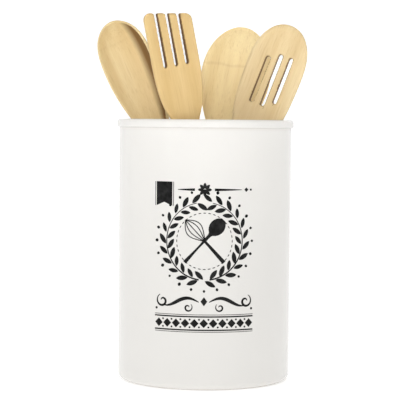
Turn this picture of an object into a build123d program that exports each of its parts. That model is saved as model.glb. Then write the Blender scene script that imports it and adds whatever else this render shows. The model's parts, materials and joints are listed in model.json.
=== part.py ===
from build123d import *
from math import cos, radians, sin, sqrt, tan
import os

# A glazed stoneware utensil crock with four bamboo tools standing in it.
# Millimetres. +Z is up, the origin is the centre of the flat foot ring,
# and the side that is looked at faces -Y.

# Crock
crock_height = 178.0
body_diameter = 118.0           # just under the lip
body_draft = 0.1                # how much the radius shrinks from the lip to the foot
wall = 4.5
lip_overhang = 1.5              # how far the rolled lip stands out from the body
lip_height = 5.6
lip_inner_radius = 2.6          # rounding of the lip's top towards the bore
lip_outer_radius = 2.2
lip_under_radius = 1.3
foot_corner_radius = 4.2
foot_ring_width = 7.5           # flat unglazed ring that the crock stands on
foot_recess = 1.4               # hollow of the underside inside that ring
floor_thickness = 6.0
floor_corner_radius = 7.0

# Fit of the tools in the crock
floor_gap = 0.3                 # between a handle's end and the crock's floor

# Bamboo strip that the tools are cut from
handle_width = 13.0
handle_thickness = 6.0
edge_radius = 1.2

strip_reach = 40.0              # more than any tool's half width and depth

# Solid spoon, its bowl towards the viewer
spoon_foot = (15.86, 10.4)      # handle's end on the floor: in from the bore, degrees from +X
spoon_rim = (15.03, 162.3)      # the tool's axis at the rim's height: the same
spoon_turn = -12.0              # degrees that the face turns, positive to the viewer's right
spoon_length = 258.9
spoon_width = 36.8
spoon_widest = 28.0             # from the tip to the widest place
spoon_shoulder = (12.4, 6.8)    # half width, and distance from the tip
spoon_waist = (14.2, 66.0)      # the same, where the head runs into the neck
spoon_neck = 104.0              # from the tip to where the straight handle starts
spoon_bowl_depth = 10.5
spoon_bowl_land = 1.3           # flat edge left around the bowl
spoon_tip_thickness = 3.2

# Fork, flat, its end cut at a slant
fork_foot = (24.09, -46.3)
fork_rim = (5.05, -104.4)
fork_turn = 10.0
fork_length = 245.8
fork_width = 31.6
fork_slant = 11.0               # degrees that the tine ends fall towards the viewer's right
fork_widest = 32.0
fork_waist = (11.9, 64.0)
fork_neck = 84.0
fork_corner_radius = 4.5
fork_tip_thickness = 3.6
fork_slot_count = 3
fork_slot_pitch = 7.3
fork_slot_width = 2.1
fork_slot_depth = 35.0          # from the tip to a slot's round end

# Mixing spoon, its convex back towards the viewer
mixer_foot = (25.66, 123.7)
mixer_rim = (8.79, 70.2)
mixer_turn = 180.0              # its back is turned to the viewer
mixer_length = 241.0
mixer_width = 49.4
mixer_widest = 33.0
mixer_shoulder = (17.4, 10.4)
mixer_waist = (19.0, 62.0)
mixer_neck = 104.0
mixer_bowl_depth = 8.0
mixer_bowl_land = 2.0
mixer_tip_thickness = 3.2

# Slotted spoon, a shallow dish towards the viewer
slotted_foot = (21.54, -158.7)
slotted_rim = (18.66, -22.1)
slotted_turn = -10.0
slotted_length = 249.3
slotted_width = 39.2
slotted_widest = 38.0
slotted_shoulder = (15.4, 10.2)
slotted_waist = (16.6, 67.0)
slotted_neck = 106.0
slotted_bowl_depth = 2.6
slotted_bowl_land = 3.0
slotted_tip_thickness = 3.4
slot_pitch = 7.6
slot_width = 2.6
slot_length = 33.0
slot_middle_extra = 4.0         # the middle slot is this much longer
slot_stagger = 2.0              # the side slots sit this much down on the left, up on the right
slot_centre = 39.0              # from the tip to the middle of the slots

# Places that follow from the sizes above
body_radius = body_diameter / 2
lip_radius = body_radius + lip_overhang
lip_bottom = crock_height - lip_height
bore_radius = body_radius - wall
floor_top = foot_recess + floor_thickness
foot_radius = body_radius - body_draft
half_handle = handle_width / 2
foot_ring_inner = foot_radius - foot_corner_radius - foot_ring_width


def inside(inset, bearing, height):
    """A point in the crock: its distance in from the bore, its bearing from +X, its height."""
    out = bore_radius - inset
    return Vector(out * cos(radians(bearing)), out * sin(radians(bearing)), height)


def place(foot, rim, turn):
    """Plane of a tool's face: origin at the handle's end, +X across, +Y along the tool."""
    end = inside(*foot, floor_top)
    along = (inside(*rim, crock_height) - end).normalized()
    towards = Vector(0, -1, 0)
    level = (towards - along * towards.dot(along)).normalized()
    out = level.rotate(Axis((0, 0, 0), along), turn)
    # The round end of a leaning handle is lifted so that its lowest point clears the floor.
    lift = floor_gap + half_handle * (1 - along.Z) + handle_thickness * max(out.Z, 0)
    return Plane(origin=end + along * (lift / along.Z), x_dir=along.cross(out), z_dir=out)


def strip(length, neck, tip_thickness):
    """The flat bamboo strip: full thickness along the handle, thinner towards the tip."""
    with BuildSketch(Plane.YZ) as section:
        with BuildLine():
            Polyline(
                (0, 0),
                (length, 0),
                (length, -tip_thickness),
                (length - neck, -handle_thickness),
                (0, -handle_thickness),
                close=True,
            )
        make_face()
    extrude(section.sketch, amount=strip_reach, both=True)


def trough(stations, axis_height, extra):
    """Section of a long round hollow whose half width at the face follows the stations."""
    line = [
        (along, axis_height - sqrt(axis_height**2 + half**2) - extra)
        for along, half in stations
    ]
    with BuildSketch(Plane.YZ, mode=Mode.PRIVATE) as section:
        with BuildLine():
            Spline(*line)
            Polyline(line[-1], (line[-1][0], axis_height), (line[0][0], axis_height), line[0])
        make_face()
    return section.sketch


def soften_face(tool):
    """Round the edges around the tool's face."""
    front = tool.faces().filter_by(Plane.XY).sort_by(Axis.Z)[-1]
    fillet(front.outer_wire().edges(), edge_radius)


def cut_slots(places, width):
    """Round-ended slots right through a tool; each place is x, its middle and its length."""
    for across, middle, slot_long in places:
        with BuildSketch() as slot:
            with Locations((across, middle)):
                SlotOverall(slot_long, width, rotation=90)
        extrude(slot.sketch, amount=strip_reach, both=True, mode=Mode.SUBTRACT)


def carve_spoon(
    length, width, widest, shoulder, waist, neck, bowl_depth, bowl_land, tip_thickness, slots=()
):
    """A bamboo spoon lying on its back: cut to its outline, round behind, hollow in front."""
    outline = [
        (half_handle, length - neck),
        (waist[0], length - waist[1]),
        (width / 2, length - widest),
        (shoulder[0], length - shoulder[1]),
        (0, length),
    ]
    bowl_half = width / 2 - bowl_land
    axis_height = (bowl_half**2 - bowl_depth**2) / (2 * bowl_depth)
    bowl_axis = Axis((0, 0, axis_height), (0, 1, 0))
    hollow = [
        (length - neck + half_handle, half_handle / 2),
        (length - waist[1], waist[0] - bowl_land),
        (length - widest, bowl_half),
        (length - shoulder[1], shoulder[0] - bowl_land),
        (length - bowl_land, 0),
    ]
    with BuildPart() as spoon:
        strip(length, neck, tip_thickness)
        revolve(trough(hollow, axis_height, tip_thickness), bowl_axis)
        with BuildSketch() as blank:
            with BuildLine():
                Line((half_handle, half_handle), outline[0])
                Spline(*outline, tangents=((0, 1), (-1, 0)))
                mirror(about=Plane.YZ)
                ThreePointArc((half_handle, half_handle), (0, 0), (-half_handle, half_handle))
            make_face()
        extrude(blank.sketch, amount=-strip_reach, mode=Mode.INTERSECT)
        soften_face(spoon)
        revolve(trough(hollow, axis_height, 0), bowl_axis, mode=Mode.SUBTRACT)
        cut_slots(slots, slot_width)
    return spoon.part


def stand(tool, name, foot, rim, turn):
    """Stand a finished tool in the crock and write it."""
    placed = place(foot, rim, turn).from_local_coords(tool)
    placed.label = name
    export_step(placed, f"parts/{name}.step")
    return placed


os.makedirs("parts", exist_ok=True)

# Crock: one turned wall with a rolled lip and a recessed foot
with BuildPart() as crock:
    with BuildSketch(Plane.XZ) as section:
        with BuildLine():
            Polyline(
                (0, foot_recess),
                (foot_ring_inner, foot_recess),
                (foot_ring_inner, 0),
                (foot_radius, 0),
                (body_radius, lip_bottom),
                (lip_radius, lip_bottom),
                (lip_radius, crock_height),
                (bore_radius, crock_height),
                (bore_radius - body_draft, floor_top),
                (0, floor_top),
                close=True,
            )
        make_face()
        for corner, radius in (
            ((foot_radius, 0), foot_corner_radius),
            ((lip_radius, lip_bottom), lip_under_radius),
            ((lip_radius, crock_height), lip_outer_radius),
            ((bore_radius, crock_height), lip_inner_radius),
            ((bore_radius - body_draft, floor_top), floor_corner_radius),
        ):
            fillet(section.vertices().sort_by_distance((*corner, 0))[0], radius)
    revolve(axis=Axis.Z)
crock.part.label = "crock"
export_step(crock.part, "parts/crock.step")

# Solid spoon: left, behind the fork
solid_spoon = stand(
    carve_spoon(
        spoon_length, spoon_width, spoon_widest, spoon_shoulder, spoon_waist,
        spoon_neck, spoon_bowl_depth, spoon_bowl_land, spoon_tip_thickness,
    ),
    "solid_spoon", spoon_foot, spoon_rim, spoon_turn,
)

# Mixing spoon: right of the middle, at the back
mixing_spoon = stand(
    carve_spoon(
        mixer_length, mixer_width, mixer_widest, mixer_shoulder, mixer_waist,
        mixer_neck, mixer_bowl_depth, mixer_bowl_land, mixer_tip_thickness,
    ),
    "mixing_spoon", mixer_foot, mixer_rim, mixer_turn,
)

# Slotted spoon: right, three slots through its dish
slot_middle = slotted_length - slot_centre
slotted_spoon = stand(
    carve_spoon(
        slotted_length, slotted_width, slotted_widest, slotted_shoulder, slotted_waist,
        slotted_neck, slotted_bowl_depth, slotted_bowl_land, slotted_tip_thickness,
        slots=[
            (-slot_pitch, slot_middle - slot_stagger, slot_length),
            (0, slot_middle, slot_length + slot_middle_extra),
            (slot_pitch, slot_middle + slot_stagger, slot_length),
        ],
    ),
    "slotted_spoon", slotted_foot, slotted_rim, slotted_turn,
)

# Fork: front left, four flat tines with ends cut at a slant
half_fork = fork_width / 2
tip_drop = half_fork * tan(radians(fork_slant))
slot_long = 2 * fork_slot_depth
first_slot = -(fork_slot_count - 1) / 2 * fork_slot_pitch
fork_side = [
    (half_handle, fork_length - fork_neck),
    (fork_waist[0], fork_length - fork_waist[1]),
    (half_fork, fork_length - fork_widest),
]
tine_corners = ((half_fork, fork_length - tip_drop), (-half_fork, fork_length + tip_drop))
with BuildPart() as fork:
    strip(fork_length + tip_drop, fork_neck, fork_tip_thickness)
    with BuildSketch() as blank:
        with BuildLine():
            Spline(*fork_side, tangents=((0, 1), (0, 1)))
            Line((half_handle, half_handle), fork_side[0])
            mirror(about=Plane.YZ)
            Polyline(fork_side[-1], *tine_corners, (-half_fork, fork_length - fork_widest))
            ThreePointArc((half_handle, half_handle), (0, 0), (-half_handle, half_handle))
        make_face()
        for corner in tine_corners:
            fillet(blank.vertices().sort_by_distance((*corner, 0))[0], fork_corner_radius)
    extrude(blank.sketch, amount=strip_reach, both=True, mode=Mode.INTERSECT)
    soften_face(fork)
    cut_slots(
        [
            (first_slot + number * fork_slot_pitch, fork_length, slot_long)
            for number in range(fork_slot_count)
        ],
        fork_slot_width,
    )
fork_placed = stand(fork.part, "fork", fork_foot, fork_rim, fork_turn)
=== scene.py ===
"""A white glazed crock with four bamboo kitchen tools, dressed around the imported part."""
import json
import math

import bmesh
import bpy
from bpy.props import FloatProperty, FloatVectorProperty, IntProperty, PointerProperty
from mathutils import Matrix, Vector


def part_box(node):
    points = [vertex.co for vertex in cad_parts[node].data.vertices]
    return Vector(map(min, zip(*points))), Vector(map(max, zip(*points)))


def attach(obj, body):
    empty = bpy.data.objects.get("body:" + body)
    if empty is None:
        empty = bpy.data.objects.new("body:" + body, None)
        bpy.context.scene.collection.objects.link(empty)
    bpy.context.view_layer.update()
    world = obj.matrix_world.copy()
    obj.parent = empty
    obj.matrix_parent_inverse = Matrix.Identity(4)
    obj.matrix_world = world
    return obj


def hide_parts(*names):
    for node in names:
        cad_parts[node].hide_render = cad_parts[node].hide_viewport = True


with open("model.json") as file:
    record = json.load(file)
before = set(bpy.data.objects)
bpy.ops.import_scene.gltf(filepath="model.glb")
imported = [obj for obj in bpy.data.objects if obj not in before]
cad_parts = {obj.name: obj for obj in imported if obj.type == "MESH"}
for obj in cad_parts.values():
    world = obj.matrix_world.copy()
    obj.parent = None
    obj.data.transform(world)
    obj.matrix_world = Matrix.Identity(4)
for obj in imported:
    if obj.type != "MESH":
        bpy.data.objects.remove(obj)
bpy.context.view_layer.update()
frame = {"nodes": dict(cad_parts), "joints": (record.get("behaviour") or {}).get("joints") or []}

bl_info = {
    "name": "Utensil Crock",
    "version": (1, 0, 0),
    "blender": (4, 5, 0),
    "location": "3D View > Sidebar > Crock",
    "description": "Builds a glazed crock, its printed ornament and the bamboo tools in it",
    "category": "Add Mesh",
}

CROCK_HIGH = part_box("crock")[1]
RIM_RADIUS = min(CROCK_HIGH.x, CROCK_HIGH.y)
CROCK_HEIGHT = CROCK_HIGH.z
TOOLS = ("solid_spoon", "fork", "mixing_spoon", "slotted_spoon")
JOINTS = {joint["child"]: joint for joint in frame["joints"]}
MM = 0.001


# Node helpers

def new_group(name, inputs, outputs):
    """An empty shader group; each socket is (name, kind, default or None)."""
    group = bpy.data.node_groups.new(name, "ShaderNodeTree")
    for label, kind, default in inputs:
        socket = group.interface.new_socket(label, in_out="INPUT", socket_type=kind)
        if default is not None:
            socket.default_value = default
    for label, kind in outputs:
        group.interface.new_socket(label, in_out="OUTPUT", socket_type=kind)
    return group, group.nodes.new("NodeGroupInput"), group.nodes.new("NodeGroupOutput")


def shader_node(tree, kind, links=None, **settings):
    """A node with its settings, and its inputs set to values or linked to sockets."""
    made = tree.nodes.new(kind)
    for key, value in settings.items():
        setattr(made, key, value)
    for key, value in (links or {}).items():
        socket = made.inputs[key]
        if isinstance(value, bpy.types.NodeSocket):
            tree.links.new(value, socket)
        else:
            socket.default_value = value
    return made


def math_node(tree, operation, first, second=0.0, clamp=False):
    """The result of one sum; each input is a value or a socket."""
    made = shader_node(tree, "ShaderNodeMath", {0: first, 1: second}, operation=operation)
    made.use_clamp = clamp
    return made.outputs[0]


def ramp(tree, value, stops):
    """A colour ramp; stops are (position, colour or grey)."""
    made = tree.nodes.new("ShaderNodeValToRGB")
    elements = made.color_ramp.elements
    while len(elements) < len(stops):
        elements.new(0.5)
    for element, (place, tone) in zip(elements, stops):
        element.position = place
        element.color = (*tone, 1) if isinstance(tone, (tuple, list)) else (tone, tone, tone, 1)
    tree.links.new(value, made.inputs["Fac"])
    return made.outputs["Color"]


def mix_colour(tree, factor, first, second, blend="MIX"):
    """The second colour laid over the first by the factor."""
    made = tree.nodes.new("ShaderNodeMix")
    made.data_type = "RGBA"
    made.blend_type = blend
    for socket, value in ((made.inputs[0], factor), (made.inputs[6], first), (made.inputs[7], second)):
        if isinstance(value, bpy.types.NodeSocket):
            tree.links.new(value, socket)
        elif socket.type == "RGBA":
            socket.default_value = (*value, 1)
        else:
            socket.default_value = value
    return made.outputs[2]


def new_material(name):
    """A material with its node tree and its surface node."""
    made = bpy.data.materials.new(name)
    made.use_nodes = True
    tree = made.node_tree
    return made, tree, tree.nodes["Principled BSDF"]


# Shader groups shared by the materials

def mottle_group():
    """Slow uneven tone and fine relief, as a glaze or a worn print has."""
    group, entry, leave = new_group(
        "mottle",
        [("Vector", "NodeSocketVector", None), ("Patch Size", "NodeSocketFloat", 0.02),
         ("Speck Size", "NodeSocketFloat", 0.0015), ("Detail", "NodeSocketFloat", 3.0)],
        [("Tone", "NodeSocketFloat"), ("Specks", "NodeSocketFloat"), ("Height", "NodeSocketFloat")],
    )
    patch_scale = math_node(group, "DIVIDE", 1.0, entry.outputs["Patch Size"])
    speck_scale = math_node(group, "DIVIDE", 1.0, entry.outputs["Speck Size"])
    slow = shader_node(group, "ShaderNodeTexNoise", {
        "Vector": entry.outputs["Vector"], "Scale": patch_scale, "Detail": entry.outputs["Detail"]})
    fine = shader_node(group, "ShaderNodeTexVoronoi", {
        "Vector": entry.outputs["Vector"], "Scale": speck_scale})
    spots = math_node(group, "SUBTRACT", 0.16, fine.outputs["Distance"], clamp=True)
    sparse = math_node(group, "GREATER_THAN", slow.outputs["Fac"], 0.56)
    specks = math_node(group, "MULTIPLY", spots, math_node(group, "MULTIPLY", sparse, 6.0), clamp=True)
    height = math_node(group, "SUBTRACT", slow.outputs["Fac"], math_node(group, "MULTIPLY", specks, 0.08))
    for label, value in (("Tone", slow.outputs["Fac"]), ("Specks", specks), ("Height", height)):
        group.links.new(value, leave.inputs[label])
    return group


def fibre_group():
    """Bamboo along +Y: long fibres, short dark vessels, broad bands and one growth node."""
    group, entry, leave = new_group(
        "bamboo_fibre",
        [("Vector", "NodeSocketVector", None), ("Fibre Width", "NodeSocketFloat", 0.0006),
         ("Vessel Width", "NodeSocketFloat", 0.0009), ("Band Width", "NodeSocketFloat", 0.008),
         ("Joint Place", "NodeSocketFloat", 0.2), ("Joint Width", "NodeSocketFloat", 0.0011)],
        [("Fibre", "NodeSocketFloat"), ("Vessels", "NodeSocketFloat"), ("Bands", "NodeSocketFloat"),
         ("Joint", "NodeSocketFloat"), ("Height", "NodeSocketFloat")],
    )
    parts = shader_node(group, "ShaderNodeSeparateXYZ", {"Vector": entry.outputs["Vector"]})

    def streaks(width, stretch, detail, rough):
        scale = math_node(group, "DIVIDE", 1.0, width)
        long_scale = math_node(group, "DIVIDE", scale, stretch)
        stretched = shader_node(group, "ShaderNodeCombineXYZ", {
            "X": math_node(group, "MULTIPLY", parts.outputs["X"], scale),
            "Y": math_node(group, "MULTIPLY", parts.outputs["Y"], long_scale),
            "Z": math_node(group, "MULTIPLY", parts.outputs["Z"], scale)})
        noise = shader_node(group, "ShaderNodeTexNoise", {
            "Vector": stretched.outputs[0], "Scale": 1.0, "Detail": detail, "Roughness": rough})
        return noise.outputs["Fac"]

    fibre = streaks(entry.outputs["Fibre Width"], 60.0, 2.0, 0.6)
    vessel_noise = streaks(entry.outputs["Vessel Width"], 16.0, 1.0, 0.4)
    bands = streaks(entry.outputs["Band Width"], 18.0, 2.0, 0.5)
    vessels = ramp(group, vessel_noise, [(0.60, 0.0), (0.70, 1.0)])
    wobble = shader_node(group, "ShaderNodeTexNoise", {
        "Vector": entry.outputs["Vector"], "Scale": 90.0, "Detail": 1.0})
    bend = math_node(group, "MULTIPLY", math_node(group, "SUBTRACT", wobble.outputs["Fac"], 0.5), 0.006)
    away = math_node(group, "SUBTRACT", math_node(group, "ADD", parts.outputs["Y"], bend),
                     entry.outputs["Joint Place"])
    steps = math_node(group, "DIVIDE", away, entry.outputs["Joint Width"])
    fall = math_node(group, "MULTIPLY", math_node(group, "MULTIPLY", steps, steps), -1.0)
    joint = math_node(group, "EXPONENT", fall)
    height = math_node(group, "ADD", math_node(group, "MULTIPLY", fibre, 0.5),
                       math_node(group, "MULTIPLY", vessels, -0.5))
    height = math_node(group, "ADD", height, math_node(group, "MULTIPLY", joint, -0.8))
    for label, value in (("Fibre", fibre), ("Vessels", vessels), ("Bands", bands),
                         ("Joint", joint), ("Height", height)):
        group.links.new(value, leave.inputs[label])
    return group


def placed_group(tree, group, vector, **values):
    """A shader group in a material, fed with a place and with sizes by name."""
    made = shader_node(tree, "ShaderNodeGroup", node_tree=group)
    tree.links.new(vector, made.inputs["Vector"])
    for label, value in values.items():
        made.inputs[label.replace("_", " ").title()].default_value = value
    return made


# Materials

def glaze_material(group, sizes):
    """White gloss glaze on the body with painted shade under the lip, bare buff stoneware on the foot ring
    and in its recess.
    """
    made, tree, surface = new_material("white_glaze")
    coordinates = shader_node(tree, "ShaderNodeTexCoord").outputs["Object"]
    height_up = shader_node(tree, "ShaderNodeSeparateXYZ", {"Vector": coordinates}).outputs["Z"]
    mottle = placed_group(tree, group, coordinates, patch_size=0.035, speck_size=0.004, detail=2.0)
    white = ramp(tree, mottle.outputs["Tone"], [
        (0.3, tuple(c * 0.985 for c in sizes.glaze_colour)), (0.7, tuple(sizes.glaze_colour))])
    specked = mix_colour(tree, math_node(tree, "MULTIPLY", mottle.outputs["Specks"], 0.12),
                         white, (0.62, 0.56, 0.48))
    # Painted shade: a darker band of the glaze just under the lip, darkest at the lip, where the lip's shadow
    # falls.
    lip_shade_gap = math_node(tree, "SUBTRACT", CROCK_HEIGHT - sizes.lip_height - 0.0022, height_up)
    lip_shade_ramp = math_node(tree, "MULTIPLY", lip_shade_gap, -1 / 0.0022, clamp=True)
    above = math_node(tree, "LESS_THAN", height_up, CROCK_HEIGHT - sizes.lip_height + 0.0003)
    painted_lip_shade = math_node(tree, "MULTIPLY", math_node(tree, "MULTIPLY", lip_shade_ramp, above), 0.5)
    shaded_under_lip = mix_colour(tree, painted_lip_shade, specked, tuple(c * f for c, f in zip(
        sizes.glaze_colour, (0.90, 0.88, 0.85))))
    grit = placed_group(tree, group, coordinates, patch_size=0.0012, speck_size=0.0018, detail=4.0)
    clay = ramp(tree, grit.outputs["Tone"], [(0.35, (0.52, 0.49, 0.44)), (0.65, (0.66, 0.63, 0.58))])
    wander = math_node(tree, "MULTIPLY", mottle.outputs["Tone"], 0.0012)
    bare = math_node(tree, "LESS_THAN", math_node(tree, "SUBTRACT", height_up, wander), 0.0)
    tree.links.new(mix_colour(tree, bare, shaded_under_lip, clay), surface.inputs["Base Color"])
    rough = math_node(tree, "ADD", sizes.glaze_roughness, math_node(tree, "MULTIPLY", bare, 0.6))
    tree.links.new(rough, surface.inputs["Roughness"])
    tree.links.new(math_node(tree, "MULTIPLY", math_node(tree, "SUBTRACT", 1.0, bare, clamp=True), 0.18),
                   surface.inputs["Coat Weight"])
    surface.inputs["Coat Roughness"].default_value = 0.04
    surface.inputs["IOR"].default_value = 1.34
    bare_grit = math_node(tree, "MULTIPLY", bare, grit.outputs["Height"])
    relief = math_node(tree, "ADD", mottle.outputs["Height"], math_node(tree, "MULTIPLY", bare_grit, 0.5))
    bump = shader_node(tree, "ShaderNodeBump", {"Height": relief, "Strength": 0.35, "Distance": 0.0006})
    tree.links.new(bump.outputs["Normal"], surface.inputs["Normal"])
    return made


def ink_material(group, sizes):
    """Fired black print: nearly black, a little thin in places, less glossy than the glaze."""
    made, tree, surface = new_material("fired_black_print")
    coordinates = shader_node(tree, "ShaderNodeTexCoord").outputs["Object"]
    mottle = placed_group(tree, group, coordinates, patch_size=0.004, speck_size=0.0009, detail=4.0)
    tone = ramp(tree, mottle.outputs["Tone"], [
        (0.35, tuple(sizes.ink_colour)), (0.75, tuple(c + 0.02 for c in sizes.ink_colour))])
    tree.links.new(mix_colour(tree, math_node(tree, "MULTIPLY", mottle.outputs["Specks"], 0.3),
                              tone, (0.25, 0.24, 0.23)), surface.inputs["Base Color"])
    tree.links.new(math_node(tree, "ADD", 0.42, math_node(tree, "MULTIPLY", mottle.outputs["Tone"], 0.15)),
                   surface.inputs["Roughness"])
    surface.inputs["Specular IOR Level"].default_value = 0.12
    bump = shader_node(tree, "ShaderNodeBump", {
        "Height": mottle.outputs["Height"], "Strength": 0.3, "Distance": 0.00005})
    tree.links.new(bump.outputs["Normal"], surface.inputs["Normal"])
    return made


def bamboo_material(name, group, mottle, sizes, into, joint_place, ring_strength, tone_and_painted_light):
    """Sanded bamboo whose fibres follow one tool, with painted shade on its slot walls and up one wall of its
    bowl, and a tone per tool that is partly painted light; into turns the piece's place into the tool's own.
    """
    made, tree, surface = new_material(name)
    coordinates = shader_node(tree, "ShaderNodeTexCoord").outputs["Object"]
    turned = shader_node(tree, "ShaderNodeMapping", {"Vector": coordinates}, vector_type="POINT")
    turned.inputs["Rotation"].default_value = into.to_euler("XYZ")
    turned.inputs["Location"].default_value = into.to_translation()
    along = turned.outputs["Vector"]
    fibre = placed_group(tree, group, along, joint_place=joint_place)
    # Painted light and shade: each tool's tone is partly the bamboo's own colour and partly stands for how
    # light falls on it, the fork darker and the mixing spoon lighter.
    pale = tuple(c * w for c, w in zip(sizes.bamboo_pale, tone_and_painted_light))
    deep = tuple(c * w for c, w in zip(sizes.bamboo_deep, tone_and_painted_light))
    banded = mix_colour(tree, ramp(tree, fibre.outputs["Bands"], [(0.32, 0.0), (0.68, 1.0)]), deep, pale)
    streaked = mix_colour(tree, math_node(tree, "MULTIPLY", ramp(
        tree, fibre.outputs["Fibre"], [(0.35, 1.0), (0.6, 0.0)]), 0.18),
        banded, tuple(c * f for c, f in zip(deep, (0.82, 0.74, 0.62))))
    flecked = mix_colour(tree, math_node(tree, "MULTIPLY", fibre.outputs["Vessels"], 0.18),
                         streaked, (0.46, 0.26, 0.10))
    ringed = mix_colour(tree, math_node(tree, "MULTIPLY", fibre.outputs["Joint"], ring_strength),
                        flecked, (0.50, 0.29, 0.12))
    handled = placed_group(tree, mottle, along, patch_size=0.03, speck_size=0.003, detail=3.0)
    aged = mix_colour(tree, math_node(tree, "MULTIPLY", handled.outputs["Tone"], 0.18),
                      ringed, tuple(c * f for c, f in zip(pale, (0.93, 0.88, 0.80))))
    # Painted shade: the stored marks darken the slot walls and the solid spoon bowl's right inner wall to
    # deep brown, standing for the shade in the narrow slots and on the bowl wall turned from the light.
    painted_shade = shader_node(tree, "ShaderNodeAttribute", attribute_name="painted_shade").outputs["Fac"]
    painted_shade_colour = mix_colour(tree, fibre.outputs["Fibre"], tuple(c * f for c, f in zip(deep, (0.17, 0.10, 0.05))),
                      tuple(c * f for c, f in zip(deep, (0.36, 0.25, 0.15))))
    tree.links.new(mix_colour(tree, painted_shade, aged, painted_shade_colour), surface.inputs["Base Color"])
    rough = math_node(tree, "ADD", 0.42, math_node(tree, "MULTIPLY", fibre.outputs["Fibre"], 0.22))
    tree.links.new(rough, surface.inputs["Roughness"])
    surface.inputs["Specular IOR Level"].default_value = 0.35
    bump = shader_node(tree, "ShaderNodeBump", {
        "Height": fibre.outputs["Height"], "Strength": 0.45, "Distance": 0.00012})
    tree.links.new(bump.outputs["Normal"], surface.inputs["Normal"])
    return made


# Mesh helpers

def rounded_path(corners, steps=8):
    """Points of a line with round corners; each corner is (radius from axis, height, rounding)."""
    points = []
    for index, (across, up, rounding) in enumerate(corners):
        here = Vector((across, up))
        if rounding == 0 or index in (0, len(corners) - 1):
            points.append(here)
            continue
        before = (Vector(corners[index - 1][:2]) - here).normalized()
        after = (Vector(corners[index + 1][:2]) - here).normalized()
        half = before.angle(after) / 2
        centre = here + (before + after).normalized() * rounding / math.sin(half)
        first = here + before * rounding / math.tan(half) - centre
        last = here + after * rounding / math.tan(half) - centre
        turn = first.angle_signed(last)
        for step in range(steps + 1):
            points.append(centre + Matrix.Rotation(-turn * step / steps, 2) @ first)
    return points


def turned_mesh(name, path, segments):
    """A closed turned solid from a path that starts and ends on the axis."""
    mesh = bmesh.new()
    rings = []
    for point in path:
        if point.x < 1e-7:
            rings.append([mesh.verts.new((0, 0, point.y))])
            continue
        rings.append([
            mesh.verts.new((point.x * math.cos(math.tau * s / segments),
                            point.x * math.sin(math.tau * s / segments), point.y))
            for s in range(segments)
        ])
    for low, high in zip(rings, rings[1:]):
        for s in range(segments):
            n = (s + 1) % segments
            if len(low) == 1:
                mesh.faces.new((low[0], high[n], high[s]))
            elif len(high) == 1:
                mesh.faces.new((low[s], low[n], high[0]))
            else:
                mesh.faces.new((low[s], low[n], high[n], high[s]))
    bmesh.ops.recalc_face_normals(mesh, faces=mesh.faces)
    return mesh_object(name, mesh)


def mesh_object(name, mesh):
    """A smooth object from an edit mesh, which is freed."""
    data = bpy.data.meshes.new(name)
    mesh.to_mesh(data)
    mesh.free()
    made = bpy.data.objects.new(name, data)
    bpy.context.scene.collection.objects.link(made)
    for face in data.polygons:
        face.use_smooth = True
    return made


def made_plain(made, name):
    """The object's evaluated mesh as a plain mesh object, with no modifiers left."""
    evaluated = made.evaluated_get(bpy.context.evaluated_depsgraph_get())
    data = bpy.data.meshes.new_from_object(evaluated)
    plain = bpy.data.objects.new(name, data)
    bpy.context.scene.collection.objects.link(plain)
    bpy.data.objects.remove(made)
    return plain


def finish_piece(piece, material, body, slot, *nodes):
    """Give a piece its material and body, and hide the nodes that it replaces; the slot is not used."""
    piece.data.materials.clear()
    piece.data.materials.append(material)
    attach(piece, body)
    if nodes:
        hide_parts(*nodes)


# Ornament on the crock's front: flat shapes in millimetres, then wrapped round the body

def stroke(points, widths, columns=4):
    """A brush stroke along points, each with its width: rows of points from side to side."""
    rows = []
    for index, (here, width) in enumerate(zip(points, widths)):
        before = points[max(index - 1, 0)]
        after = points[min(index + 1, len(points) - 1)]
        along = (Vector(after) - Vector(before)).normalized()
        side = Vector((-along.y, along.x)) * width / 2
        rows.append([Vector(here) + side * (1 - 2 * c / columns) for c in range(columns + 1)])
    return rows


def curl(centre, outer, inner, start, turns, thick, steps=60):
    """A spiral stroke that swells and thins like a pen's."""
    points, widths = [], []
    for step in range(steps + 1):
        share = step / steps
        radius = outer + (inner - outer) * share
        angle = start + turns * math.tau * share
        points.append((centre[0] + radius * math.cos(angle), centre[1] + radius * math.sin(angle)))
        widths.append(thick * (0.25 + math.sin(math.pi * share) ** 0.8))
    return stroke(points, widths)


def shaped(start, end, profile, steps=30, columns=6):
    """A silhouette on a straight line, its width given by profile(share of the length)."""
    first, last = Vector(start), Vector(end)
    shares = [step / steps for step in range(steps + 1)]
    return stroke([first.lerp(last, s) for s in shares], [profile(s) for s in shares], columns)


def disc(centre, radius, steps=14):
    """A round dot as rows of three points."""
    angles = [math.pi * s / steps for s in range(steps + 1)]
    return [[Vector(centre) + Vector((math.cos(a), t * math.sin(a))) * radius for t in (1, 0, -1)]
            for a in angles]


def diamond(centre, half_wide, half_high, steps=6):
    """A lozenge as rows of five points."""
    rows = []
    for step in range(2 * steps + 1):
        across = step / steps - 1
        reach = half_high * (1 - abs(across))
        rows.append([Vector((centre[0] + across * half_wide, centre[1] + t * reach))
                     for t in (1, 0.5, 0, -0.5, -1)])
    return rows


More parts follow.
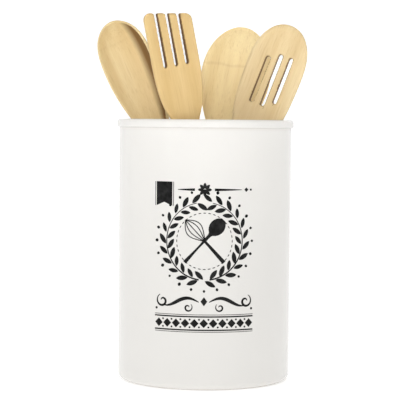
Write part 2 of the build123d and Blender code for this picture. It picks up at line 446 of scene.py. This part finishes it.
def wrap(rows_list, name, radius_at, print_thickness):
    """Flat shapes (x across, y up, millimetres) laid on the crock's front as a thin closed layer."""
    mesh = bmesh.new()
    for rows in rows_list:
        layers = []
        for lift in (-print_thickness / 2, print_thickness):
            grid = []
            for row in rows:
                line = []
                for point in row:
                    up = point.y * MM
                    radius = radius_at(up)
                    angle = point.x * MM / radius
                    line.append(mesh.verts.new((
                        (radius + lift) * math.sin(angle), -(radius + lift) * math.cos(angle), up)))
                grid.append(line)
            layers.append(grid)
        low, high = layers
        count, columns = len(rows), len(rows[0])
        for i in range(count - 1):
            for j in range(columns - 1):
                mesh.faces.new((high[i][j], high[i + 1][j], high[i + 1][j + 1], high[i][j + 1]))
                mesh.faces.new((low[i][j + 1], low[i + 1][j + 1], low[i + 1][j], low[i][j]))
            for j in (0, columns - 1):
                mesh.faces.new((high[i][j], high[i + 1][j], low[i + 1][j], low[i][j]))
        for i in (0, count - 1):
            for j in range(columns - 1):
                mesh.faces.new((high[i][j], high[i][j + 1], low[i][j + 1], low[i][j]))
    bmesh.ops.remove_doubles(mesh, verts=mesh.verts, dist=1e-7)
    bmesh.ops.recalc_face_normals(mesh, faces=mesh.faces)
    return mesh_object(name, mesh)


# Geometry Nodes: leaves, berries or dashes set round a ring and wrapped on the crock

RING_SIZES = (
    ("Count", "NodeSocketInt", 24), ("Ring Radius", "NodeSocketFloat", 0.02),
    ("First Angle", "NodeSocketFloat", 0.0), ("Arc", "NodeSocketFloat", math.tau),
    ("Leaf Length", "NodeSocketFloat", 0.006), ("Leaf Width", "NodeSocketFloat", 0.002),
    ("Side Shift", "NodeSocketFloat", 0.0), ("Tilt", "NodeSocketFloat", 0.6),
    ("Size Change", "NodeSocketFloat", 0.1), ("Centre Height", "NodeSocketFloat", 0.09),
    ("Wrap Radius", "NodeSocketFloat", 0.059), ("Print Thickness", "NodeSocketFloat", 0.00006),
    ("Seed", "NodeSocketInt", 3), ("Material", "NodeSocketMaterial", None),
)


def ring_tree():
    """The node tree that sets leaves round a ring and wraps them on the crock."""
    tree = bpy.data.node_groups.new("wrapped_leaf_ring", "GeometryNodeTree")
    for label, kind, default in RING_SIZES:
        socket = tree.interface.new_socket(label, in_out="INPUT", socket_type=kind)
        if default is not None:
            socket.default_value = default
    tree.interface.new_socket("Geometry", in_out="OUTPUT", socket_type="NodeSocketGeometry")
    entry, leave = tree.nodes.new("NodeGroupInput"), tree.nodes.new("NodeGroupOutput")
    sizes = entry.outputs

    def add(kind, links=None, **settings):
        return shader_node(tree, kind, links, **settings)

    def calc(operation, first, second=0.0):
        return math_node(tree, operation, first, second)

    # One leaf: a flat strip whose width swells to the middle, with a closed underside.
    sheet = add("GeometryNodeMeshGrid", {"Size X": 1.0, "Size Y": 1.0, "Vertices X": 9, "Vertices Y": 5})
    place = add("ShaderNodeSeparateXYZ", {"Vector": add("GeometryNodeInputPosition").outputs[0]})
    swell = calc("POWER", calc("MAXIMUM", calc("SUBTRACT", 1.0, calc(
        "MULTIPLY", calc("MULTIPLY", place.outputs["X"], place.outputs["X"]), 3.9)), 0.0), 0.8)
    leaf_place = add("ShaderNodeCombineXYZ", {
        "X": calc("MULTIPLY", place.outputs["X"], sizes["Leaf Length"]),
        "Y": calc("MULTIPLY", calc("MULTIPLY", place.outputs["Y"], sizes["Leaf Width"]), swell)})
    leaf = add("GeometryNodeSetPosition", {
        "Geometry": sheet.outputs["Mesh"], "Position": leaf_place.outputs[0]})
    solid = add("GeometryNodeExtrudeMesh", {
        "Mesh": leaf.outputs[0], "Offset": (0, 0, 1), "Offset Scale": sizes["Print Thickness"],
        "Individual": False}, mode="FACES")
    under = add("GeometryNodeFlipFaces", {"Mesh": leaf.outputs[0]})
    closed = add("GeometryNodeJoinGeometry")
    tree.links.new(solid.outputs["Mesh"], closed.inputs[0])
    tree.links.new(under.outputs[0], closed.inputs[0])
    welded = add("GeometryNodeMergeByDistance", {"Geometry": closed.outputs[0], "Distance": 0.000002})

    # Where each leaf goes: round the ring, first to one side of it and then to the other.
    points = add("GeometryNodeMeshLine", {"Count": sizes["Count"]})
    number = add("GeometryNodeInputIndex").outputs[0]
    angle = calc("ADD", sizes["First Angle"], calc(
        "DIVIDE", calc("MULTIPLY", number, sizes["Arc"]), sizes["Count"]))
    side = calc("SUBTRACT", 1.0, calc("MULTIPLY", calc("MODULO", number, 2.0), 2.0))
    radius = calc("ADD", sizes["Ring Radius"], calc("MULTIPLY", side, sizes["Side Shift"]))
    spot = add("ShaderNodeCombineXYZ", {
        "X": calc("MULTIPLY", radius, calc("COSINE", angle)),
        "Y": calc("MULTIPLY", radius, calc("SINE", angle))})
    set_out = add("GeometryNodeSetPosition", {"Geometry": points.outputs[0], "Position": spot.outputs[0]})
    upward = calc("SIGN", calc("COSINE", angle))
    lean = calc("MULTIPLY", calc("MULTIPLY", upward, side), sizes["Tilt"])
    turn = calc("SUBTRACT", calc("ADD", angle, calc("MULTIPLY", upward, math.pi / 2)), lean)
    rotation = add("ShaderNodeCombineXYZ", {"Z": turn})
    chance = add("FunctionNodeRandomValue", {
        2: calc("SUBTRACT", 1.0, sizes["Size Change"]), 3: calc("ADD", 1.0, sizes["Size Change"]),
        "Seed": sizes["Seed"]}, data_type="FLOAT")
    leaves = add("GeometryNodeInstanceOnPoints", {
        "Points": set_out.outputs[0], "Instance": welded.outputs[0],
        "Rotation": rotation.outputs[0], "Scale": chance.outputs[1]})
    real = add("GeometryNodeRealizeInstances", {"Geometry": leaves.outputs[0]})

    # Wrap the flat ring round the crock's front.
    flat = add("ShaderNodeSeparateXYZ", {"Vector": add("GeometryNodeInputPosition").outputs[0]})
    bent = calc("DIVIDE", flat.outputs["X"], sizes["Wrap Radius"])
    out = calc("ADD", sizes["Wrap Radius"], flat.outputs["Z"])
    wrapped_place = add("ShaderNodeCombineXYZ", {
        "X": calc("MULTIPLY", out, calc("SINE", bent)),
        "Y": calc("MULTIPLY", calc("MULTIPLY", out, calc("COSINE", bent)), -1.0),
        "Z": calc("ADD", flat.outputs["Y"], sizes["Centre Height"])})
    wrapped = add("GeometryNodeSetPosition", {
        "Geometry": real.outputs[0], "Position": wrapped_place.outputs[0]})
    painted = add("GeometryNodeSetMaterial", {"Geometry": wrapped.outputs[0], "Material": sizes["Material"]})
    tree.links.new(painted.outputs[0], leave.inputs[0])
    return tree


def leaf_ring(tree, name, material, **values):
    """A ring of leaves made by the tree with these sizes, as a plain mesh object."""
    made = bpy.data.objects.new(name + "_maker", bpy.data.meshes.new(name))
    bpy.context.scene.collection.objects.link(made)
    modifier = made.modifiers.new("Leaf ring", "NODES")
    modifier.node_group = tree
    names = {socket.name: socket.identifier for socket in tree.interface.items_tree
             if socket.in_out == "INPUT"}
    modifier[names["Material"]] = material
    for label, value in values.items():
        modifier[names[label.replace("_", " ").title()]] = value
    return made_plain(made, name)


# What a user can change

class CrockSizes(bpy.types.PropertyGroup):
    """Sizes and colour of the crock"""

    lip_height: FloatProperty(name="Lip height", description="Height of the rolled lip",
                              default=0.0056, unit="LENGTH")
    lip_overhang: FloatProperty(name="Lip overhang", description="How far the lip stands out",
                                default=0.0015, unit="LENGTH")
    wall: FloatProperty(name="Wall", description="Thickness of the crock's wall",
                        default=0.0045, unit="LENGTH")
    draft: FloatProperty(name="Draft", description="How much narrower the foot is than the top",
                         default=0.0001, unit="LENGTH")
    floor: FloatProperty(name="Floor", description="Thickness of the crock's floor",
                         default=0.006, unit="LENGTH")
    foot_recess: FloatProperty(name="Foot recess", description="Depth of the hollow underside",
                               default=0.0014, unit="LENGTH")
    foot_ring: FloatProperty(name="Foot ring", description="Width of the flat ring it stands on",
                             default=0.0075, unit="LENGTH")
    foot_rounding: FloatProperty(name="Foot rounding", description="Radius of the bottom edge",
                                 default=0.0042, unit="LENGTH")
    floor_rounding: FloatProperty(name="Floor rounding", description="Radius where the floor meets the wall",
                                  default=0.007, unit="LENGTH")
    lip_under: FloatProperty(name="Under the lip", description="Radius of the lip's lower edge",
                             default=0.0013, unit="LENGTH")
    lip_outer: FloatProperty(name="Outside the lip", description="Radius of the lip's outer edge",
                             default=0.0022, unit="LENGTH")
    lip_inner: FloatProperty(name="Inside the lip", description="Radius of the lip's inner edge",
                             default=0.0026, unit="LENGTH")
    segments: IntProperty(name="Segments", description="Sides of the turned body", default=224)
    glaze_colour: FloatVectorProperty(name="Glaze", description="Colour of the glaze",
                                      subtype="COLOR", default=(0.80, 0.785, 0.755))
    glaze_roughness: FloatProperty(name="Glaze roughness", description="How dull the glaze is",
                                   default=0.06, subtype="FACTOR")


class PrintSizes(bpy.types.PropertyGroup):
    """Sizes and colour of the print"""

    wreath_height: FloatProperty(name="Wreath height", description="Height of the wreath's centre",
                                 default=0.0985, unit="LENGTH")
    wreath_radius: FloatProperty(name="Wreath radius", description="Radius of the wreath's stem",
                                 default=0.0255, unit="LENGTH")
    leaf_length: FloatProperty(name="Leaf length", description="Length of one leaf",
                               default=0.0072, unit="LENGTH")
    leaf_count: IntProperty(name="Leaves", description="Leaves in the wreath", default=46)
    scroll_height: FloatProperty(name="Scroll height", description="Height of the scrolls",
                                 default=0.0585, unit="LENGTH")
    frieze_height: FloatProperty(name="Frieze height", description="Height of the row of diamonds",
                                 default=0.0445, unit="LENGTH")
    half_width: FloatProperty(name="Half width", description="Half of the ornament's width",
                              default=0.034, unit="LENGTH")
    print_thickness: FloatProperty(name="Thickness", description="Thickness of the fired print",
                                   default=0.00006, unit="LENGTH")
    ink_colour: FloatVectorProperty(name="Print", description="Colour of the print",
                                    subtype="COLOR", default=(0.004, 0.004, 0.004))


class ToolSizes(bpy.types.PropertyGroup):
    """Grain, colours and slots of the tools"""

    voxel: FloatProperty(name="Voxel", description="Grain of the carved surface",
                         default=0.00062, unit="LENGTH")
    sanding: IntProperty(name="Sanding", description="How much the edges are rounded", default=5)
    slot_slant: FloatProperty(name="Slot slant", description="How far a slot runs sideways to the back",
                              default=0.0009, unit="LENGTH")
    bamboo_pale: FloatVectorProperty(name="Pale bamboo", description="Colour of the light bands",
                                     subtype="COLOR", default=(0.90, 0.70, 0.38))
    bamboo_deep: FloatVectorProperty(name="Deep bamboo", description="Colour of the dark bands",
                                     subtype="COLOR", default=(0.80, 0.58, 0.28))


class StageSizes(bpy.types.PropertyGroup):
    """Where the camera stands and looks"""

    camera_distance: FloatProperty(name="Distance", description="From the crock's axis to the camera",
                                   default=1.1002, unit="LENGTH")
    camera_height: FloatProperty(name="Height", description="Height of the camera",
                                 default=0.1794, unit="LENGTH")
    camera_pitch: FloatProperty(name="Pitch", description="How far the camera looks down",
                                default=0.05171, subtype="ANGLE")
    camera_roll: FloatProperty(name="Roll", description="Roll of the camera",
                               default=0.00918, subtype="ANGLE")
    camera_yaw: FloatProperty(name="Yaw", description="Turn of the camera",
                              default=-0.00303, subtype="ANGLE")
    camera_lens: FloatProperty(name="Lens", description="Focal length in millimetres", default=144.0)


# Each tool: where its handle stands, the degrees that its face turns, its growth node's
# place along it and strength, and its tone, which is partly its own colour and partly painted light and shade
TOOL_PLACES = {
    "solid_spoon": dict(foot=(0.038, 0.007), turn=-12.0, node=(0.245, 0.08), tone_and_painted_light=(0.94, 0.98, 1.02)),
    "fork": dict(foot=(0.021, -0.022), turn=10.0, node=(0.128, 0.30), tone_and_painted_light=(0.80, 0.76, 0.66)),
    "mixing_spoon": dict(foot=(-0.016, 0.024), turn=0.0, node=(0.212, 0.18), tone_and_painted_light=(1.06, 1.12, 1.16)),
    "slotted_spoon": dict(foot=(-0.0307, -0.012), turn=-10.0, node=(0.120, 0.30), tone_and_painted_light=(0.90, 0.93, 1.0)),
}
FLOOR_TOP = 0.0074
# Slots of a tool, in its own space: middle across, lower end, upper end, half width
TOOL_SLOTS = {
    "fork": [(across, 0.2108, 0.26, 0.00105) for across in (-0.0073, 0.0, 0.0073)],
    "slotted_spoon": [(-0.0076, 0.1918, 0.2248, 0.0013), (0.0, 0.1918, 0.2288, 0.0013),
                      (0.0076, 0.1958, 0.2288, 0.0013)],
}


def into_tool(name):
    """Matrix that turns a point of the row into the tool's own: X across, Y along, Z out of its face."""
    place = TOOL_PLACES[name]
    along = Vector(JOINTS[name]["axis"]).normalized()
    towards = Vector((0, -1, 0))
    level = (towards - along * towards.dot(along)).normalized()
    out = Matrix.Rotation(math.radians(place["turn"]), 3, along) @ level
    across = along.cross(out)
    back = Matrix((across, along, out)).to_4x4()
    return back @ Matrix.Translation(-Vector((*place["foot"], FLOOR_TOP)))


# How far from a slot its slant and its painted shade reach, and how deep the slant runs before it is full
SLANT_REACH, SLANT_FADE, SHADE_REACH, SLOT_END = 0.0016, 0.0009, 0.0007, 0.0012
SLANT_DEPTH = 0.0035
# Least depth under the face at which the bowl's wall counts as its inside
INSIDE_BOWL = 0.0004


def clamped(value):
    """The value held between 0 and 1."""
    return min(max(value, 0.0), 1.0)


def mark_painted_shade(data, name, slant):
    """Slant the slots, and store how much painted shade darkens their walls and one steep wall of the deep
    bowl, standing for the shade that falls there.
    """
    into = into_tool(name)
    turned = into.to_3x3()
    sideways = turned.inverted() @ Vector((1, 0, 0))
    marks = []
    for vertex in data.vertices:
        place, facing = into @ vertex.co, turned @ vertex.normal
        mark = 0.0
        for across, low, high, half in TOOL_SLOTS.get(name, ()):
            away = abs(place.x - across) - half
            if away < SLANT_REACH and low - SLOT_END < place.y < high + SLOT_END:
                # Painted shade on the slot walls, where the narrow slots lie in shade.
                if away < SHADE_REACH:
                    mark = clamped((0.85 - abs(facing.z)) / 0.35)
                near = min((SLANT_REACH - away) / SLANT_FADE, 1.0)
                vertex.co += sideways * slant * near * clamped(-place.z / SLANT_DEPTH)
        # Painted shade up the bowl's right inner wall, which is turned from the light.
        if name == "solid_spoon" and place.x > 0 and place.z < -INSIDE_BOWL and facing.z > 0.05:
            mark = clamped((-facing.x - 0.33) / 0.32)
        marks.append(mark)
    data.attributes.new("painted_shade", "FLOAT", "POINT").data.foreach_set("value", marks)


# Operators

class CROCK_OT_body(bpy.types.Operator):
    """Turn and glaze the crock"""

    bl_idname = "crock.body"
    bl_label = "Crock body"

    def execute(self, context):
        sizes = context.scene.crock_sizes
        body = RIM_RADIUS - sizes.lip_overhang
        foot = body - sizes.draft
        ring = foot - sizes.foot_rounding - sizes.foot_ring
        bore = body - sizes.wall
        lip_bottom = CROCK_HEIGHT - sizes.lip_height
        floor_top = sizes.foot_recess + sizes.floor
        path = rounded_path([
            (0, sizes.foot_recess, 0), (ring, sizes.foot_recess, 0.0009), (ring, 0, 0.0006),
            (foot, 0, sizes.foot_rounding), (foot + (body - foot) * 0.5, CROCK_HEIGHT / 2, 0),
            (body, lip_bottom, 0.0005), (RIM_RADIUS, lip_bottom, sizes.lip_under),
            (RIM_RADIUS, CROCK_HEIGHT, sizes.lip_outer), (bore, CROCK_HEIGHT, sizes.lip_inner),
            (bore - sizes.draft, floor_top, sizes.floor_rounding), (0, floor_top, 0),
        ])
        crock = turned_mesh("glazed_crock", path, sizes.segments)
        mottle = bpy.data.node_groups.get("mottle") or mottle_group()
        finish_piece(crock, glaze_material(mottle, sizes), "crock", "glaze", "crock")
        return {"FINISHED"}


class CROCK_OT_ornament(bpy.types.Operator):
    """Print the black ornament on the crock's front"""

    bl_idname = "crock.ornament"
    bl_label = "Front ornament"

    def execute(self, context):
        sizes, body = context.scene.print_sizes, context.scene.crock_sizes
        top_radius = RIM_RADIUS - body.lip_overhang
        lip_bottom = CROCK_HEIGHT - body.lip_height

        def radius_at(up):
            return top_radius - body.draft * (1 - up / lip_bottom)

        ink = ink_material(bpy.data.node_groups["mottle"], sizes)
        middle = sizes.wreath_height / MM
        ring = sizes.wreath_radius / MM
        wide = sizes.half_width / MM
        scroll = sizes.scroll_height / MM
        frieze = sizes.frieze_height / MM
        shapes = []
        # Stem of the wreath, open at the top
        for way in (1, -1):
            arc = [(way * ring * math.sin(a), middle - ring * math.cos(a))
                   for a in [math.radians(8 + 160 * s / 70) for s in range(71)]]
            shapes.append(stroke(arc, [0.95 - 0.5 * s / 70 for s in range(71)], 2))

        def spoon_width(share):
            """Half the width of the drawn spoon along its length."""
            if share < 0.66:
                return 1.9 + 0.5 * math.cos(9 * share)
            return 1.6 + 8.6 * math.sin(math.pi * (share - 0.66) / 0.345) ** 0.6

        # Crossed spoon and whisk
        shapes.append(shaped((-13, middle - 14), (12.5, middle + 14), spoon_width))
        shapes.append(shaped((13, middle - 14), (0.5, middle - 0.3), lambda s: 2.7 - 1.0 * s, columns=4))
        for bulge in (-5.4, -2.9, 0.0, 2.9, 5.4):
            base, tip = Vector((0.8, middle - 0.6)), Vector((-12.6, middle + 13.8))
            side = Vector((tip.y - base.y, base.x - tip.x)).normalized()
            wire = [base.lerp(tip, s / 40) + side * bulge * math.sin(math.pi * (s / 40) ** 1.25)
                    for s in range(41)]
            shapes.append(stroke(wire, [0.62] * 41, 2))
        # Scrolls under the wreath, mirrored about a diamond
        for way in (1, -1):
            sweep = [(way * (3.4 + 24 * s / 40), scroll + 2.6 * math.sin(math.pi * 1.6 * s / 40))
                     for s in range(41)]
            shapes.append(stroke(sweep, [0.5 + 1.9 * math.sin(math.pi * s / 40) for s in range(41)]))
            shapes.append(curl(
                (way * 28.4, scroll + 0.4), 4.4, 1.0, math.pi / 2 - way * 0.4, -way * 1.15, 1.2))
            shapes.append(curl((way * 10.5, scroll - 3.6), 3.0, 0.8, math.pi / 2 + way * 0.7, way * 1.1, 0.9))
            shapes.append(disc((way * (wide - 1.2), scroll - 4.6), 0.8))
        shapes.append(diamond((0, scroll + 0.4), 2.2, 3.0))
        # Frieze of diamonds between rules
        count = 11
        pitch = 2 * wide / count
        for number in range(count):
            across = (number - (count - 1) / 2) * pitch
            shapes.append(diamond((across, frieze), pitch * 0.46, 2.9))
        for number in range(count - 1):
            across = (number - (count - 2) / 2) * pitch
            shapes.append(disc((across, frieze + 2.5), 0.62))
            shapes.append(disc((across, frieze - 2.5), 0.62))
        for rise, thick in ((4.4, 0.9), (-4.4, 0.9), (5.7, 0.35), (-5.7, 0.35)):
            up = frieze + rise
            shapes.append(shaped((-wide, up), (wide, up), lambda s, t=thick: t, steps=60, columns=2))
        # Short rules and dots over the wreath, left and right of the rosette
        crown = middle + ring + 8.2
        for end in (25.0, -18.0):
            first = math.copysign(6.5, end)
            shapes.append(shaped((first, crown), (end, crown),
                                 lambda s: 1.5 * (1 - s) ** 0.7 + 0.25, columns=2))
        shapes.append(diamond((28.2, crown), 1.5, 1.5))
        shapes.append(disc((31.6, crown), 0.75))
        # Pennant at the upper left, its lower edge notched, with a fine line on each side
        half_pennant, pennant = 5.8, -27.6
        columns = [half_pennant * (step / 8 - 1) for step in range(17)]
        shapes.append([[Vector((pennant + x, up)) for up in (
            crown + 5.0, crown - 4.0, crown - 10.8 + 2.4 * (1 - abs(x) / half_pennant))] for x in columns])
        for way in (1, -1):
            side = pennant + way * (half_pennant + 0.9)
            shapes.append(shaped((side, crown + 5.0), (side, crown - 10.8), lambda s: 0.4, columns=2))
        lines = wrap(shapes, "front_strokes", radius_at, sizes.print_thickness)
        finish_piece(lines, ink, "crock", None)
        tree = ring_tree()
        common = dict(material=ink, wrap_radius=radius_at(sizes.wreath_height),
                      print_thickness=sizes.print_thickness)
        length = sizes.leaf_length
        rings = (
            ("wreath_leaves", dict(count=sizes.leaf_count, ring_radius=sizes.wreath_radius,
                                   leaf_length=length, leaf_width=length * 0.40, side_shift=length * 0.40,
                                   tilt=0.65, centre_height=sizes.wreath_height,
                                   first_angle=math.radians(-82), arc=math.tau * 0.975)),
            ("wreath_berries", dict(count=24, ring_radius=sizes.wreath_radius + length * 1.02,
                                    leaf_length=0.0019, leaf_width=0.0021, tilt=0.0,
                                    centre_height=sizes.wreath_height, size_change=0.18, seed=8)),
            ("inner_dashes", dict(count=36, ring_radius=sizes.wreath_radius - length * 0.98,
                                  leaf_length=0.0021, leaf_width=0.0006, tilt=0.0, size_change=0.0,
                                  centre_height=sizes.wreath_height)),
            ("rosette_petals", dict(count=8, ring_radius=0.0026, leaf_length=0.0040, leaf_width=0.0021,
                                    tilt=math.pi / 2, size_change=0.0, centre_height=crown * MM)),
        )
        for name, values in rings:
            piece = leaf_ring(tree, name, **common, **values)
            finish_piece(piece, ink, "crock", None)
        return {"FINISHED"}


class CROCK_OT_tools(bpy.types.Operator):
    """Carve, sand and grain the four bamboo tools"""

    bl_idname = "crock.tools"
    bl_label = "Bamboo tools"

    def execute(self, context):
        sizes = context.scene.tool_sizes
        group = fibre_group()
        mottle = bpy.data.node_groups["mottle"]
        for name in TOOLS:
            place = TOOL_PLACES[name]
            mesh = bmesh.new()
            mesh.from_mesh(frame["nodes"][name].data)
            bmesh.ops.remove_doubles(mesh, verts=mesh.verts, dist=2e-6)
            blank = mesh_object(name + "_blank", mesh)
            remesh = blank.modifiers.new("Carve", "REMESH")
            remesh.mode = "VOXEL"
            remesh.voxel_size = sizes.voxel
            sand = blank.modifiers.new("Sand", "SMOOTH")
            sand.factor = 0.5
            sand.iterations = sizes.sanding
            tool = made_plain(blank, "bamboo_" + name)
            for face in tool.data.polygons:
                face.use_smooth = True
            mark_painted_shade(tool.data, name, math.copysign(sizes.slot_slant, -place["turn"]))
            material = bamboo_material(
                name + "_bamboo", group, mottle, sizes, into_tool(name),
                *place["node"], place["tone_and_painted_light"])
            finish_piece(tool, material, name, "bamboo", name)
        return {"FINISHED"}


class CROCK_OT_stage(bpy.types.Operator):
    """Set the pale floor, the soft lights and the camera"""

    bl_idname = "crock.stage"
    bl_label = "Stage"

    def execute(self, context):
        sizes = context.scene.stage_sizes
        mesh = bmesh.new()
        rows = [(-2.5, 0.0), (0.9, 0.0)]
        bend_radius = 0.9
        rows += [(0.9 + bend_radius * math.sin(a), bend_radius * (1 - math.cos(a)))
                 for a in [math.pi / 2 * s / 16 for s in range(1, 17)]]
        rows.append((rows[-1][0], 3.5))
        lines = [[mesh.verts.new((x, y, z)) for x in (-4, 4)] for y, z in rows]
        for low, high in zip(lines, lines[1:]):
            mesh.faces.new((low[0], low[1], high[1], high[0]))
        sweep = mesh_object("studio_sweep", mesh)
        made, tree, surface = new_material("pale_sweep")
        surface.inputs["Base Color"].default_value = (0.94, 0.94, 0.94, 1)
        surface.inputs["Roughness"].default_value = 0.9
        surface.inputs["Emission Color"].default_value = (1, 1, 1, 1)
        surface.inputs["Emission Strength"].default_value = 0.32
        sweep.data.materials.append(made)

        world = bpy.data.worlds.new("studio")
        world.use_nodes = True
        world.node_tree.nodes["Background"].inputs["Color"].default_value = (1, 1, 1, 1)
        world.node_tree.nodes["Background"].inputs["Strength"].default_value = 0.62
        context.scene.world = world
        context.scene.view_settings.view_transform = "Standard"

        for name, place, aim, width, height, power, spread in (
            ("left_softbox", (-1.11, -1.0, 0.6), (0, 0, 0.6), 0.16, 1.16, 2.4, 180),
            ("front_softbox", (0.1, -1.7, 0.55), (0, 0, 0.12), 1.2, 0.8, 4.7, 180),
            ("right_softbox", (1.1, -1.1, 0.8), (0, 0, 0.12), 0.7, 1.0, 0.3, 180),
            ("top_softbox", (0.1, -0.2, 1.5), (0, 0, 0.12), 1.2, 1.0, 0.8, 180),
            ("tools_softbox", (-0.05, -1.25, 0.46), (-0.01, 0, 0.21), 0.5, 0.12, 0.05, 12),
        ):
            light = bpy.data.lights.new(name, "AREA")
            light.shape = "RECTANGLE"
            light.size, light.size_y, light.energy = width, height, power
            light.spread = math.radians(spread)
            light.color = (1.0, 0.995, 0.985)
            lamp = bpy.data.objects.new(name, light)
            lamp.location = place
            lamp.rotation_euler = (Vector(aim) - Vector(place)).to_track_quat("-Z", "Y").to_euler()
            context.scene.collection.objects.link(lamp)

        pitch, yaw, roll = sizes.camera_pitch, sizes.camera_yaw, sizes.camera_roll
        ahead = Vector((math.cos(pitch) * math.sin(yaw), math.cos(pitch) * math.cos(yaw), -math.sin(pitch)))
        level = Vector((math.cos(yaw), -math.sin(yaw), 0))
        upright = level.cross(ahead)
        right = level * math.cos(roll) + upright * math.sin(roll)
        up = upright * math.cos(roll) - level * math.sin(roll)
        lens = bpy.data.cameras.new("photo_camera")
        lens.lens, lens.sensor_width = sizes.camera_lens, 36.0
        camera = bpy.data.objects.new("photo_camera", lens)
        turned = Matrix((right, up, -ahead)).transposed().to_4x4()
        turned.translation = Vector((0, -sizes.camera_distance, sizes.camera_height))
        camera.matrix_world = turned
        context.scene.collection.objects.link(camera)
        context.scene.camera = camera
        return {"FINISHED"}


class CROCK_PT_panel(bpy.types.Panel):
    """Lists the pieces of the crock"""

    bl_idname = "CROCK_PT_panel"
    bl_label = "Utensil Crock"
    bl_space_type = "VIEW_3D"
    bl_region_type = "UI"
    bl_category = "Crock"

    def draw(self, context):
        for operator in OPERATORS:
            self.layout.operator(operator.bl_idname)
        for group in PROPERTY_GROUPS:
            box = self.layout.box()
            owner = getattr(context.scene, group)
            for name in owner.__annotations__:
                box.prop(owner, name)


OPERATORS = (CROCK_OT_stage, CROCK_OT_body, CROCK_OT_ornament, CROCK_OT_tools)
PROPERTY_GROUPS = {
    "crock_sizes": CrockSizes, "print_sizes": PrintSizes,
    "tool_sizes": ToolSizes, "stage_sizes": StageSizes,
}


def register():
    """Add the sizes, operators and panel to the program."""
    for made in (*PROPERTY_GROUPS.values(), *OPERATORS, CROCK_PT_panel):
        bpy.utils.register_class(made)
    for name, made in PROPERTY_GROUPS.items():
        setattr(bpy.types.Scene, name, PointerProperty(type=made))


def unregister():
    """Take them away again."""
    for name in PROPERTY_GROUPS:
        delattr(bpy.types.Scene, name)
    for made in reversed((*PROPERTY_GROUPS.values(), *OPERATORS, CROCK_PT_panel)):
        bpy.utils.unregister_class(made)


def main():
    """Build the whole scene."""
    register()
    bpy.ops.crock.stage()
    bpy.ops.crock.body()
    bpy.ops.crock.ornament()
    bpy.ops.crock.tools()


if __name__ == "__main__":
    main()
